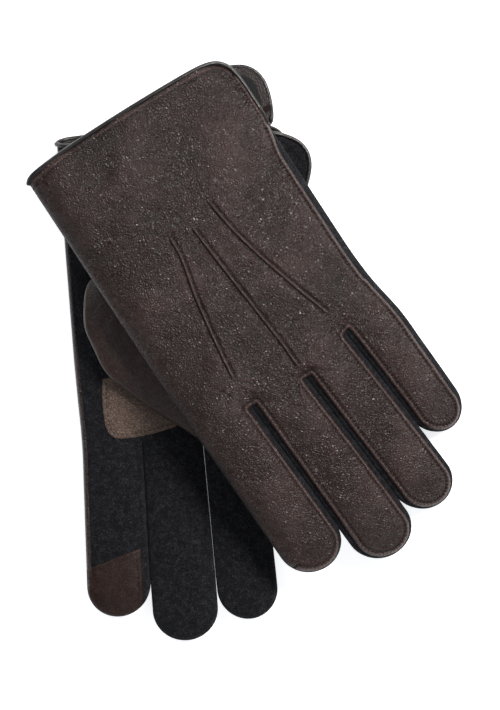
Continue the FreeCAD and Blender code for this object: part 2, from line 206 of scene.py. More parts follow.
def curve(points, step):
    """A smooth curve through a few points (Catmull-Rom), resampled every step."""
    p = np.asarray(points, float)
    p = np.concatenate([[2 * p[0] - p[1]], p, [2 * p[-1] - p[-2]]])
    out = []
    for k in range(1, len(p) - 2):
        t = np.linspace(0, 1, 12, endpoint=False)[:, None]
        a, b, c, d = p[k - 1], p[k], p[k + 1], p[k + 2]
        out.append(0.5 * (2 * b + (c - a) * t + (2 * a - 5 * b + 4 * c - d) * t ** 2
                          + (3 * b - a - 3 * c + d) * t ** 3))
    return resample(np.concatenate(out + [p[-2:-1]]), step)


def normals_of(line, closed=False):
    """Unit vectors to the left of travel in (u, v), which point into the glove."""
    if closed:
        run = np.roll(line, -1, 0) - np.roll(line, 1, 0)
    else:
        run = np.gradient(line, axis=0)
    run = run / np.maximum(np.linalg.norm(run, axis=1), 1e-9)[:, None]
    return np.stack([run[:, 1], -run[:, 0]], 1)


# ---- the glove's outline
def finger_centre(side, name, v):
    f = FINGERS[name]
    t = (v - KNUCKLE) / (f["end_v"] - KNUCKLE)
    return f["root"] + (f["end"] - f["root"]) * t + LEAN[side] * (v - KNUCKLE) / LEAN_LENGTH


def finger_half(name, v):
    f = FINGERS[name]
    t = np.minimum(1.0, (v - KNUCKLE) / (f["end_v"] - KNUCKLE))
    return f["half_root"] + (f["half_end"] - f["half_root"]) * t - GAP


def hand_edge(side, v, sign):
    """u of the hand's index edge (-1) or little-finger edge (+1)."""
    spread = np.maximum(0.0, (v - FLARE_START) / (KNUCKLE - FLARE_START))
    name = "index" if sign < 0 else "little"
    hand = INDEX_EDGE + 0.7 * spread if sign < 0 else VENT_EDGE + 4.0 * spread ** 2
    finger = finger_centre(side, name, v) + sign * finger_half(name, v)
    blend = ease(125.0, 165.0, v)
    return hand * (1 - blend) + finger * blend


def finger_side(side, name, sign, start):
    """One side of a finger from v = start to the middle of its tip: rows of u, v, tip share."""
    tip = FINGERS[name]["tip"]
    v = np.linspace(start, tip - DOME, 50)
    if (name, sign) in (("index", -1), ("little", 1)):
        u = hand_edge(side, v, sign)
    else:
        u = finger_centre(side, name, v) + sign * finger_half(name, v)
    turn = np.radians(np.linspace(0, 90, 22)[1:])
    vd = tip - DOME + DOME * np.sin(turn)
    ud = finger_centre(side, name, vd) + sign * finger_half(name, vd) * np.cos(turn)
    return np.concatenate([np.stack([u, v, 0 * v], 1), np.stack([ud, vd, np.sin(turn)], 1)])


def closed_edge(side):
    """The sewn edge from the cuff round the fingers to the vent: rows of u, v, leather inset."""
    v = np.linspace(1.0, 125.0, 60)
    rows = [np.stack([hand_edge(side, v, -1), v, 0 * v], 1)]
    for k, name in enumerate(ORDER):
        start = 126.0 if k == 0 else SLITS[k - 1]
        up = finger_side(side, name, -1, start)
        inner = 0.0 if k == 0 else FOURCHETTE
        up[:, 2] = inner + (0.9 - inner) * up[:, 2]
        stop = SLITS[k] if k < 3 else 126.0
        down = finger_side(side, name, 1, stop)
        outer = FOURCHETTE if k < 3 else SIDE_STRIP - 0.6
        down[:, 2] = outer + (0.9 - outer) * down[:, 2]
        if k > 0:
            rows.append(slit_end(rows[-1][-1], up[0]))
        rows += [up, down[::-1][1:]]
    v = np.linspace(125.0, VENT_END, 50)
    inset = 0.3 + (SIDE_STRIP - 0.3) * ease(VENT_END, 56.0, v)
    rows.append(np.stack([hand_edge(side, v, 1), v, inset], 1))
    return resample(np.concatenate(rows), 0.9)


def slit_end(a, b):
    """The rounded bottom of the gap between two fingers."""
    turn = np.radians(np.linspace(0, 180, 11)[1:-1])
    middle, half = (a[:2] + b[:2]) / 2, (b[0] - a[0]) / 2
    return np.stack([middle[0] - half * np.cos(turn), middle[1] - half * np.sin(turn),
                     np.full(len(turn), FOURCHETTE)], 1)


def cuff_edge(back):
    """The open edge from the end of the sewn edge at the vent to its start at the cuff."""
    if back:
        corner = ((VENT_EDGE, VENT_END), (VENT_EDGE, 24.0), (109.9, 15.0), (108.6, 7.0), (105.0, 2.2),
                  (99.0, -0.2), (88.0, -1.3))
        far = ((60.0, -2.2), (30.0, -2.4), (8.0, -1.6), (1.0, -0.6), (INDEX_EDGE, 1.0))
    else:
        corner = ((VENT_EDGE, VENT_END),) + FLAP
        far = ((85.0, 3.2), (60.0, 3.0), (30.0, 3.0), (8.0, 2.8), (1.0, 2.2), (INDEX_EDGE, 1.0))
    return curve(corner + far, 0.9)


# ---- the glove's rounded form
class Form:
    """Heights of one glove's surfaces over its pattern."""

    def __init__(self, side):
        self.side = side
        self.edge = closed_edge(side)
        below = np.array([[self.edge[0, 0], -40.0]])
        self.wall = np.concatenate([below, self.edge[::2, :2], self.edge[-1:, :2]])

    def finger_of(self, p):
        """0 to 3 for the finger that each point belongs to, by the gaps' middle lines."""
        k = np.zeros(len(p), int)
        for i in range(3):
            right = finger_centre(self.side, ORDER[i], p[:, 1]) + finger_half(ORDER[i], p[:, 1])
            left = (finger_centre(self.side, ORDER[i + 1], p[:, 1])
                    - finger_half(ORDER[i + 1], p[:, 1]))
            k += p[:, 0] > (right + left) / 2
        return k

    def middle(self, p):
        """w of the surface half-way through the glove."""
        w = -ARCH[self.side] * ((p[:, 0] - ARCH_CENTRE) / ARCH_SPAN) ** 2
        k = self.finger_of(p)
        for i, name in enumerate(ORDER):
            t = np.clip((p[:, 1] - KNUCKLE) / (FINGERS[name]["tip"] - KNUCKLE), 0, 1)
            drop = -DROOP[name] * t ** 1.5
            if self.side == "right":
                drop = REST_CUT - self.thick(p, i)
                drop = drop * ease(140.0, 152.0, p[:, 1])
            w = w + np.where(k == i, drop, 0.0)
        return w

    def thick(self, p, finger=None):
        k = self.finger_of(p) if finger is None else np.full(len(p), finger)
        tips = np.array([FINGERS[n]["tip"] for n in ORDER])[k]
        t = np.clip((p[:, 1] - KNUCKLE) / (tips - KNUCKLE), 0, 1)
        finger_thick = FINGER_THICK[0] + (FINGER_THICK[1] - FINGER_THICK[0]) * t
        blend = ease(138.0, 152.0, p[:, 1])
        return HAND_THICK * (1 - blend) + finger_thick * blend

    def border(self, p):
        """Distance from the sewn edge, with the vent's edges standing open."""
        d = nearest(p, self.wall)[0]
        lip = VENT_LIP * ease(VENT_END, VENT_END - 9.0, p[:, 1])
        vent = np.maximum(VENT_EDGE - p[:, 0], 0.0) + lip
        return np.where(p[:, 1] < VENT_END, np.minimum(d, vent), d)

    def surface(self, p, back, sink=0.0):
        """w of the outer surface, or of one sunk below it."""
        wide = ROUND_FINGER + (ROUND_HAND - ROUND_FINGER) * ease(150.0, 118.0, p[:, 1])
        x = np.clip((self.border(p) - sink) / (wide - sink), 0.0, 1.0)
        rise = (1.0 - (1.0 - x) ** ROUND_POWER) ** (1.0 / ROUND_POWER)
        wall = SIDE_WALL * ease(128.0, 148.0, p[:, 1])
        w = (self.thick(p) - sink) * (wall + (1.0 - wall) * rise)
        if self.side == "right" and back:
            w = np.minimum(w, REST_CUT - self.middle(p) - sink)
        w = w - 0.1 * np.clip(p[:, 0] - VENT_EDGE, 0.0, 20.0)
        return self.middle(p) + (w if back else -w)


FORMS = {side: Form(side) for side in ("left", "right")}


# ---- filling an outline
def fill(loop, rings, spacing, lines=(), line_rows=()):
    """Triangles over a closed loop: rows of points along its edge and along lines, then a mesh."""
    loop = np.asarray(loop, float)
    closed = np.concatenate([loop, loop[:1]])
    normal = normals_of(loop, closed=True)
    if not inside((loop + normal * 0.3)[::7], loop).mean() > 0.5:
        loop, normal = loop[::-1], normals_of(loop[::-1], closed=True)
    sets = []
    for depth in rings:
        row = loop + normal * depth
        gap = nearest(row, closed)[0]
        sets.append(row[(gap > 0.9 * depth) & inside(row, loop)])
    feature = []
    for line in lines:
        n = normals_of(line)
        for off in line_rows:
            feature.append(line + n * off)
    if feature:
        feature = np.concatenate(feature)
        clear = rings[-1] + 0.3 if rings else 0.3
        keep = inside(feature, loop) & (nearest(feature, closed)[0] > clear)
        sets.append(feature[keep])
    low, high = loop.min(0), loop.max(0)
    us = np.arange(low[0], high[0], spacing)
    vs = np.arange(low[1], high[1], spacing * 0.866)
    grid = np.stack(np.meshgrid(us, vs), -1)
    grid[1::2, :, 0] += spacing / 2
    grid = grid.reshape(-1, 2)
    grid = grid[inside(grid, loop)]
    depth = rings[-1] if rings else 0.0
    grid = grid[nearest(grid, closed)[0] > depth + 0.6 * spacing]
    for line in lines:
        reach = max(line_rows) + 0.5 * spacing
        grid = grid[nearest(grid, line)[0] > reach]
    points = np.concatenate([loop] + sets + [grid])
    count = len(loop)
    edges = [(k, (k + 1) % count) for k in range(count)]
    made = geometry.delaunay_2d_cdt([Vector(p) for p in points.tolist()], edges, [], 1, 1e-5)
    return np.array([v[:] for v in made[0]]), np.array(made[2])


def weld(uvw, faces):
    """Join vertices that share a place."""
    key = np.round(uvw * 2000.0).astype(np.int64)
    _, first, back = np.unique(key, axis=0, return_index=True, return_inverse=True)
    faces = back.reshape(-1)[faces]
    good = ((faces[:, 0] != faces[:, 1]) & (faces[:, 1] != faces[:, 2])
            & (faces[:, 2] != faces[:, 0]))
    return uvw[first], faces[good]


def face_up(uvw, faces, back):
    """Turn triangles so that the back's face +w and the palm's face -w."""
    a, b, c = (uvw[faces[:, k], :2] for k in range(3))
    area = ((b - a)[:, 0] * (c - a)[:, 1] - (b - a)[:, 1] * (c - a)[:, 0]).sum()
    return faces if (area > 0) == back else faces[:, ::-1]


def turned_edge(uvw, faces, keep, back, drop, out=0.25):
    """Fold a panel's edge down towards what it lies on, wherever keep(points) is true."""
    edge = np.sort(np.concatenate([faces[:, [0, 1]], faces[:, [1, 2]], faces[:, [2, 0]]]), 1)
    unique, count = np.unique(edge, axis=0, return_counts=True)
    border = {tuple(e) for e in unique[count == 1]}
    directed = np.concatenate([faces[:, [0, 1]], faces[:, [1, 2]], faces[:, [2, 0]]])
    rim = [e for e in directed if tuple(sorted(e)) in border]
    kept = keep(uvw[:, :2])
    rim = np.array([e for e in rim if kept[e].all()])
    if not len(rim):
        return uvw, faces
    outward = np.zeros((len(uvw), 2))
    for a, b in rim:
        run = uvw[b, :2] - uvw[a, :2]
        n = np.array([run[1], -run[0]]) * (1 if back else -1)
        outward[a] += n
        outward[b] += n
    ids = np.unique(rim)
    length = np.maximum(np.linalg.norm(outward[ids], axis=1), 1e-9)[:, None]
    outward = outward[ids] / length
    sign = 1.0 if back else -1.0
    rows, previous = [uvw], ids
    quads = []
    for step, (o, d) in enumerate(((out * 0.7, drop * 0.22), (out, drop * 0.55), (out * 0.8, drop))):
        ring = uvw[ids].copy()
        ring[:, :2] += outward * o
        ring[:, 2] -= sign * d
        new = len(uvw) + step * len(ids) + np.arange(len(ids))
        lower, upper = dict(zip(ids, new)), dict(zip(ids, previous))
        for a, b in rim:
            quads.append((upper[a], lower[a], lower[b]))
            quads.append((upper[a], lower[b], upper[b]))
        rows.append(ring)
        previous = new
    return np.concatenate(rows), np.concatenate([faces, np.array(quads)])


# ---- making pieces
def region_of(side, p):
    """-1 for the hand, 0 to 3 for a finger, by where the skin starts to bend."""
    k = FORMS[side].finger_of(p)
    start = np.array([BEND_START[n] for n in ORDER])[k]
    return np.where(p[:, 1] > start, k, -1)


def mesh_object(name, co, normals, faces, colours, rub_and_painted_light):
    """One object; colours is a list of (material, number of faces) in face order.

    The last argument, per vertex: above 0 rubbing plus painted highlight, below 0 painted shade.
    """
    data = bpy.data.meshes.new(name)
    data.from_pydata(co.tolist(), [], faces.tolist())
    data.polygons.foreach_set("use_smooth", np.ones(len(faces), bool))
    for material, _ in colours:
        data.materials.append(material)
    index = np.concatenate([np.full(n, k) for k, (_, n) in enumerate(colours)])
    data.polygons.foreach_set("material_index", index.astype(np.int32))
    data.attributes.new("rub_and_painted_light", "FLOAT", "POINT").data.foreach_set("value", rub_and_painted_light)
    data.normals_split_custom_set_from_vertices(normals.tolist())
    obj = bpy.data.objects.new(name, data)
    bpy.context.scene.collection.objects.link(obj)
    return obj


def vertex_normals(co, faces):
    a, b, c = co[faces[:, 0]], co[faces[:, 1]], co[faces[:, 2]]
    n = np.cross(b - a, c - a)
    total = np.zeros_like(co)
    for k in range(3):
        np.add.at(total, faces[:, k], n)
    return total / np.maximum(np.linalg.norm(total, axis=1), 1e-15)[:, None]


def make(side, name, layers, nodes, split=True, painted_light_and_rub=None):
    """Objects for one panel. layers: (uvw, faces, material) each; split cuts at the knuckles.

    nodes maps "hand" or a finger's name to the CAD nodes that its object stands for.
    """
    co, normals, faces, middles, owner, rub_and_painted_light, starts = [], [], [], [], [], [], 0
    for index, (uvw, tri, _) in enumerate(layers):
        xyz = to_row(side, uvw)
        vertex_light_and_rub = np.zeros(len(uvw))
        # only the first layer gets the mark: rubbing plus painted highlight on crests, painted shade
        # in grooves
        if painted_light_and_rub is not None and index == 0:
            vertex_light_and_rub[:len(painted_light_and_rub)] = painted_light_and_rub
            # the points that the turned edge adds are darkened as painted shade, folded down out of
            # the light
            vertex_light_and_rub[len(painted_light_and_rub):] = -0.6
        rub_and_painted_light.append(vertex_light_and_rub)
        flipped = tri[:, ::-1]       # v runs against Y, so triangles turn over
        if side == "right":
            flipped = tri            # and once more, because w runs against Z
        normals.append(vertex_normals(xyz, flipped))
        co.append(xyz)
        faces.append(flipped + starts)
        middles.append(uvw[tri].mean(1))
        owner.append(np.full(len(tri), index))
        starts += len(xyz)
    co, normals, rub_and_painted_light = (np.concatenate(x) for x in (co, normals, rub_and_painted_light))
    faces, middles, owner = (np.concatenate(x) for x in (faces, middles, owner))
    region = region_of(side, middles[:, :2]) if split else np.full(len(faces), -1)
    made = {}
    for k in sorted(set(region)):
        part = "hand" if k < 0 else ORDER[k]
        chosen = region == k
        tri, own = faces[chosen], owner[chosen]
        order = np.argsort(own, kind="stable")
        tri, own = tri[order], own[order]
        used, back = np.unique(tri, return_inverse=True)
        colours = [(layers[i][2], int((own == i).sum())) for i in sorted(set(own))]
        label = "%s_%s" % (side, name) if part == "hand" else "%s_%s_%s" % (side, part, name)
        obj = mesh_object(label, co[used], normals[used], back.reshape(-1, 3), colours,
                          rub_and_painted_light[used])
        if part == "hand":
            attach(obj, side + "_hand")
        else:
            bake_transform(obj)
        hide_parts(*["%s_%s" % (side, n) for n in nodes.get(part, ())])
        made[part] = obj
    return made


def tube(path, radius_out, radius_up):
    """A bound edge: an oval tube along a path of (u, v, w) rows."""
    sides = 12
    run = np.gradient(path, axis=0)
    run /= np.linalg.norm(run, axis=1)[:, None]
    up = np.array([0.0, 0.0, 1.0]) - run * run[:, 2:3]
    up /= np.linalg.norm(up, axis=1)[:, None]
    across = np.cross(run, up)
    turn = np.linspace(0, 2 * math.pi, sides, endpoint=False)
    rings = (path[:, None] + across[:, None] * (radius_out * np.cos(turn))[None, :, None]
             + up[:, None] * (radius_up * np.sin(turn))[None, :, None])
    n = len(path)
    quads = []
    for i in range(n - 1):
        for j in range(sides):
            a, b = i * sides + j, i * sides + (j + 1) % sides
            quads += [(a, b, b + sides), (a, b + sides, a + sides)]
    caps = [n * sides, n * sides + 1]
    for j in range(sides):
        quads.append((caps[0], (j + 1) % sides, j))
        last = (n - 1) * sides
        quads.append((caps[1], last + j, last + (j + 1) % sides))
    points = np.concatenate([rings.reshape(-1, 3), path[:1] - run[:1] * radius_out * 0.5,
                             path[-1:] + run[-1:] * radius_out * 0.5])
    faces = np.array(quads)
    return points, outward(points, faces)


def outward(points, faces):
    """Turn a closed shape's triangles so that its volume is positive."""
    a, b, c = points[faces[:, 0]], points[faces[:, 1]], points[faces[:, 2]]
    volume = (a * np.cross(b, c)).sum()
    return faces if volume > 0 else faces[:, ::-1]


STITCH_RINGS, STITCH_SIDES = 5, 6


def stitches(line, height, pitch, length, width, up=1.0, along=None):
    """A row of thread stitches along a (u, v) line; height(points) gives the w they lie at.

    along, a line with as many points, is the one that the pitch is measured on.
    """
    path = resample(line, 0.4) if along is None else line
    measure = path if along is None else along
    s = np.concatenate([[0.0], np.cumsum(np.linalg.norm(np.diff(measure, axis=0), axis=1))])
    centres = np.arange(pitch, s[-1] - pitch, pitch)
    steps = np.array([-0.5, -0.36, 0.0, 0.36, 0.5]) * length
    swell = np.array([0.35, 0.85, 1.0, 0.85, 0.35])
    turn = np.linspace(0, 2 * math.pi, STITCH_SIDES, endpoint=False)
    points, faces = [], []
    for c in centres:
        u, v = (np.interp(c, s, path[:, k]) for k in range(2))
        ahead = np.array([np.interp(c + 0.3, s, path[:, k]) for k in range(2)]) - (u, v)
        behind = (u, v) - np.array([np.interp(c - 0.3, s, path[:, k]) for k in range(2)])
        run = ahead + behind
        run = run / max(np.linalg.norm(run), 1e-9)
        side_way = np.array([-run[1], run[0]])
        middle = np.array([u, v]) + steps[:, None] * run
        base = height(middle)
        lift = up * 0.22 * np.array([-0.9, 0.2, 0.8, 0.2, -0.9])
        ring = np.zeros((STITCH_RINGS, STITCH_SIDES, 3))
        for j, a in enumerate(turn):
            ring[:, j, :2] = middle + side_way * (math.cos(a) * width / 2 * swell)[:, None]
            ring[:, j, 2] = base + lift + math.sin(a) * 0.2 * swell
        start = len(points) * ring[..., 0].size
        last = start + (STITCH_RINGS - 1) * STITCH_SIDES
        for first in range(start, last, STITCH_SIDES):
            for j in range(STITCH_SIDES):
                a, b = first + j, first + (j + 1) % STITCH_SIDES
                faces += [(a, b, b + STITCH_SIDES), (a, b + STITCH_SIDES, a + STITCH_SIDES)]
        for j in range(1, STITCH_SIDES - 1):
            faces += [(start, start + j + 1, start + j), (last, last + j, last + j + 1)]
        points.append(ring.reshape(-1, 3))
    points, faces = np.array(points), np.array(faces)
    each = len(faces) // len(points)
    turned = outward(points[0] - points[0].mean(0), faces[:each])
    if (turned[0] != faces[0]).any():
        faces = faces[:, ::-1]
    return points.reshape(-1, 3), faces


def joined(parts):
    """Several (points, faces) as one."""
    points, faces, start = [], [], 0
    for p, f in parts:
        if len(p):
            points.append(p)
            faces.append(f + start)
            start += len(p)
    return np.concatenate(points), np.concatenate(faces)


# ---- materials
class Nodes:
    """A material's node tree, with short calls for what every material here needs."""

    def __init__(self, name):
        self.material = bpy.data.materials.new(name)
        self.material.use_nodes = True
        self.tree = self.material.node_tree
        self.shader = self.tree.nodes["Principled BSDF"]
        self.place = self.add("ShaderNodeTexCoord").outputs["Object"]

    def add(self, kind, **values):
        node = self.tree.nodes.new(kind)
        for key, value in values.items():
            if key in node.inputs:
                node.inputs[key].default_value = value
            else:
                setattr(node, key, value)
        return node

    def link(self, a, b):
        self.tree.links.new(a, b)

    def stretched(self, scale):
        node = self.add("ShaderNodeMapping")
        node.inputs["Scale"].default_value = scale
        self.link(self.place, node.inputs["Vector"])
        return node.outputs["Vector"]

    def noise(self, scale, detail=3.0, rough=0.55, where=None, distortion=0.0):
        node = self.add("ShaderNodeTexNoise", Scale=scale, Detail=detail, Roughness=rough,
                        Distortion=distortion)
        self.link(where or self.place, node.inputs["Vector"])
        return node.outputs["Fac"]

    def cells(self, scale, feature="F1", where=None):
        node = self.add("ShaderNodeTexVoronoi", Scale=scale)
        node.feature = feature
        self.link(where or self.place, node.inputs["Vector"])
        return node.outputs["Distance"]

    def ramp(self, value, stops):
        node = self.add("ShaderNodeValToRGB")
        node.color_ramp.elements[0].position, node.color_ramp.elements[0].color = stops[0]
        node.color_ramp.elements[1].position, node.color_ramp.elements[1].color = stops[-1]
        for position, colour in stops[1:-1]:
            node.color_ramp.elements.new(position).color = colour
        self.link(value, node.inputs["Fac"])
        return node.outputs["Color"]

    def math(self, kind, a, b, clamp=False):
        node = self.add("ShaderNodeMath", operation=kind, use_clamp=clamp)
        for socket, value in zip(node.inputs, (a, b)):
            if isinstance(value, (int, float)):
                socket.default_value = value
            else:
                self.link(value, socket)
        return node.outputs["Value"]

    def mix(self, fac, a, b, blend="MIX"):
        node = self.add("ShaderNodeMix", data_type="RGBA", blend_type=blend)
        for socket, value in ((node.inputs[0], fac), (node.inputs[6], a), (node.inputs[7], b)):
            if isinstance(value, (int, float, tuple)):
                socket.default_value = value
            else:
                self.link(value, socket)
        return node.outputs[2]

    def surface(self, **values):
        """Set the shader's own sockets: a name's spaces are written as _."""
        for key, value in values.items():
            self.shader.inputs[key.replace("_", " ")].default_value = value

    def bump(self, height, distance, strength=1.0):
        node = self.add("ShaderNodeBump", Strength=strength, Distance=distance)
        self.link(height, node.inputs["Height"])
        self.link(node.outputs["Normal"], self.shader.inputs["Normal"])


def rgb(r, g, b):
    return (r, g, b, 1.0)


def grey(value):
    return (value, value, value, 1.0)


PEBBLES = 780.0                  # leather grains in a metre


def leather(name, dark, light, grain, gloss, shine=0.5):
    """Pebbled drum-dyed leather: rounded grains between fine creases, and soft wrinkles."""
    n = Nodes(name)
    bend = n.add("ShaderNodeVectorMath", operation="MULTIPLY_ADD")
    shift = n.add("ShaderNodeTexNoise", Scale=260.0, Detail=2.0)
    n.link(n.place, shift.inputs["Vector"])
    n.link(shift.outputs["Color"], bend.inputs[0])
    bend.inputs[1].default_value = (0.0012, 0.0012, 0.0012)
    n.link(n.place, bend.inputs[2])
    pebble = n.cells(PEBBLES, "DISTANCE_TO_EDGE", bend.outputs["Vector"])
    pebble = n.math("MULTIPLY", pebble, 3.0, True)
    fine = n.noise(2300.0, 3.0, 0.6)
    vein = n.noise(190.0, 5.0, 0.65, n.stretched((0.8, 1.4, 1.0)), 1.0)
    vein = n.math("ABSOLUTE", n.math("SUBTRACT", vein, 0.5), 0.0)
    vein = n.math("MULTIPLY", vein, 11.0, True)
    swell = n.noise(120.0, 3.0, 0.5, None, 0.8)
    height = n.math("ADD", n.math("MULTIPLY", pebble, 0.62), n.math("MULTIPLY", fine, 0.09))
    height = n.math("ADD", height, n.math("MULTIPLY", vein, 0.34))
    height = n.math("ADD", height, n.math("MULTIPLY", swell, 1.7))
    cloud = n.noise(34.0, 4.0)
    colour = n.mix(n.ramp(cloud, [(0.34, grey(0)), (0.68, grey(1))]), dark, light)
    # darker between the grains and in the fine creases: painted shade
    grain_valley_shade = n.math("MULTIPLY", n.math("ADD", pebble, 0.10, True),
                    n.math("ADD", vein, 0.35, True))
    colour = n.mix(0.85, colour, n.ramp(grain_valley_shade, [(0.08, grey(0.34)), (0.75, grey(1.12))]),
                   "MULTIPLY")
    # per-point mark from the mesh: above 0 pales towards rubbing plus painted highlight, below 0
    # painted shade
    rub_and_painted_light = n.add("ShaderNodeAttribute", attribute_name="rub_and_painted_light").outputs["Fac"]
    rub_and_highlight_colour = tuple(2.6 * c + 0.034 for c in light[:3]) + (1.0,)
    painted_shade_colour = tuple(0.22 * c for c in dark[:3]) + (1.0,)
    colour = n.mix(n.math("MULTIPLY", rub_and_painted_light, 0.75, True), colour, rub_and_highlight_colour)
    colour = n.mix(n.math("MULTIPLY", rub_and_painted_light, -1.1, True), colour, painted_shade_colour)
    n.link(colour, n.shader.inputs["Base Color"])
    rough = n.ramp(n.noise(520.0, 3.0), [(0.3, grey(gloss - 0.08)), (0.7, grey(gloss + 0.10))])
    n.link(rough, n.shader.inputs["Roughness"])
    n.surface(Specular_IOR_Level=shine)
    n.bump(height, 0.00031 * grain, 1.0)
    return n.material


def wool(name, dark, mid, fleck):
    """Felted flannel: charcoal heather with paler fibres and a raised nap."""
    n = Nodes(name)
    fibre = n.noise(900.0, 4.0, 0.7, n.stretched((1.0, 2.4, 1.0)), 1.4)
    cross = n.noise(860.0, 4.0, 0.7, n.stretched((2.4, 1.0, 1.0)), 1.4)
    tuft = n.noise(330.0, 4.0, 0.65)
    heather = n.math("MULTIPLY", n.math("ADD", fibre, cross), 0.5)
    colour = n.ramp(heather, [(0.40, dark), (0.50, mid), (0.60, fleck)])
    colour = n.mix(n.ramp(tuft, [(0.40, grey(0)), (0.62, grey(1))]),
                   n.mix(0.65, colour, dark), colour)
    n.link(colour, n.shader.inputs["Base Color"])
    n.surface(Roughness=1.0, Specular_IOR_Level=0.1, Sheen_Weight=0.05, Sheen_Roughness=0.5)
    height = n.math("ADD", n.math("MULTIPLY", heather, 1.0), n.math("MULTIPLY", tuft, 1.2))
    n.bump(height, 0.0011, 0.9)
    return n.material


def knit(name, dark, light):
    """Fine jersey lining: rows of small loops."""
    n = Nodes(name)
    wave = n.add("ShaderNodeTexWave", Scale=420.0, Distortion=2.0, Detail=1.0)
    n.link(n.place, wave.inputs["Vector"])
    loops = n.math("MULTIPLY", wave.outputs["Fac"], n.cells(900.0))
    n.link(n.mix(n.ramp(loops, [(0.1, rgb(0, 0, 0)), (0.6, rgb(1, 1, 1))]), dark, light),
           n.shader.inputs["Base Color"])
    n.surface(Roughness=0.9)
    n.bump(loops, 0.0003, 0.8)
    return n.material


def thread(name, dark, light):
    """Twisted sewing thread."""
    n = Nodes(name)
    ply = n.noise(3200.0, 2.0, 0.5, n.stretched((1.0, 1.0, 0.4)))
    n.link(n.mix(ply, dark, light), n.shader.inputs["Base Color"])
    n.surface(Roughness=0.6)
    n.bump(ply, 0.0001, 0.6)
    return n.material


def paper(name):
    """The pale seamless ground."""
    n = Nodes(name)
    n.link(n.mix(n.noise(3.0, 2.0), rgb(0.90, 0.90, 0.905), rgb(0.92, 0.92, 0.92)),
           n.shader.inputs["Base Color"])
    n.surface(Roughness=0.9, Emission_Color=(0.97, 0.98, 1.0, 1.0), Emission_Strength=0.8)
    return n.material


LEATHER = leather("leather", rgb(0.0190, 0.0084, 0.0068), rgb(0.0340, 0.0162, 0.0132), 1.0, 0.31,
                  shine=0.32)
SMOOTH = leather("smooth_leather", rgb(0.034, 0.0170, 0.0140), rgb(0.046, 0.0240, 0.0200), 0.4,
                 0.38)
PATCH = leather("patch_leather", rgb(0.115, 0.077, 0.058), rgb(0.150, 0.104, 0.080), 0.8, 0.55,
                shine=0.25)
TOUCH = leather("touch_leather", rgb(0.027, 0.0135, 0.0108), rgb(0.035, 0.0180, 0.0146), 0.35, 0.50,
                shine=0.2)
FACING = leather("facing_leather", rgb(0.014, 0.0064, 0.0056), rgb(0.022, 0.0105, 0.0090), 0.4,
                 0.44, shine=0.3)
BOUND = leather("binding_leather", rgb(0.008, 0.0065, 0.0065), rgb(0.016, 0.012, 0.012), 0.25,
                0.33)
WOOL = wool("charcoal_wool", rgb(0.0035, 0.0035, 0.0048), rgb(0.0095, 0.0098, 0.0125),
            rgb(0.050, 0.052, 0.060))
KNIT = knit("lining_knit", rgb(0.004, 0.004, 0.0045), rgb(0.012, 0.012, 0.012))
THREAD = thread("thread", rgb(0.003, 0.002, 0.002), rgb(0.012, 0.008, 0.007))


# ---- relief of the surfaces
def seam_relief(e, s, pitch, height=0.62):
    """A turned, stitched edge: a puffed lip, then a groove that each stitch pulls deeper."""
    pull = np.cos(math.pi * s / pitch) ** 2
    lip = height * bump(e - 0.85, 0.75) * (1.0 - 0.45 * pull)
    groove = -height * bump(e - RIM_INSET, 0.5) * (0.35 + 0.65 * pull)
    puff = 0.28 * height * bump(e - 3.1, 0.9) * (1.0 - pull)
    return lip + groove + puff


def tuck_relief(p):
    """The three raised tucks on the back of the hand, with a sewn groove along each side."""
    w = np.zeros(len(p))
    for points in TUCKS:
        line = curve(points, 0.8)
        d, along, side = nearest(p, line)
        q = d * side
        total = np.linalg.norm(np.diff(line, axis=0), axis=1).sum()
        fade = ease(0.0, 4.0, along) * ease(0.0, 4.0, total - along)
        shape = 0.72 * bump(q, 0.52) - 0.50 * bump(np.abs(q) - 1.15, 0.45)
        shape = shape + 0.16 * bump(np.abs(q) - 3.2, 1.6) - 0.10 * bump(q, 5.0)
        w += np.where((along > 0.01) & (along < total - 0.01), fade * shape, 0.0)
        for end, way in ((line[0], line[0] - line[3]), (line[-1], line[-1] - line[-4])):
            w += end_wrinkles(p, end, way)
    return w


def end_wrinkles(p, end, way):
    """Pulls that fan out from a tuck's end."""
    way = way / np.linalg.norm(way)
    rel = p - end
    r = np.linalg.norm(rel, axis=1)
    ahead = rel @ way
    turn = np.arctan2(rel[:, 0] * way[1] - rel[:, 1] * way[0], ahead)
    reach = np.exp(-((r - 7.0) / 6.0) ** 2) * ease(-2.0, 3.0, ahead)
    return 0.13 * np.sin(11.0 * turn + 0.4) * reach


def crease_relief(p, seed):
    """Soft lumps, and fine creases that run across the hand in patches."""
    lumps = 0.75 * waves(p, 46.0, 6, seed) + 0.30 * waves(p, 17.0, 9, seed + 1)
    warp = 2.2 * waves(p, 24.0, 6, seed + 2) + 0.5 * waves(p, 6.0, 6, seed + 3)
    patch = np.clip(0.30 + 0.6 * waves(p, 30.0, 5, seed + 4), 0.0, 1.0)
    lines = np.sin(2 * math.pi * (p[:, 1] * 0.95 + p[:, 0] * 0.28 + warp) / 3.9)
    fine = waves(p, 5.0, 14, seed + 5)
    return lumps + 0.10 * patch * lines + 0.045 * fine


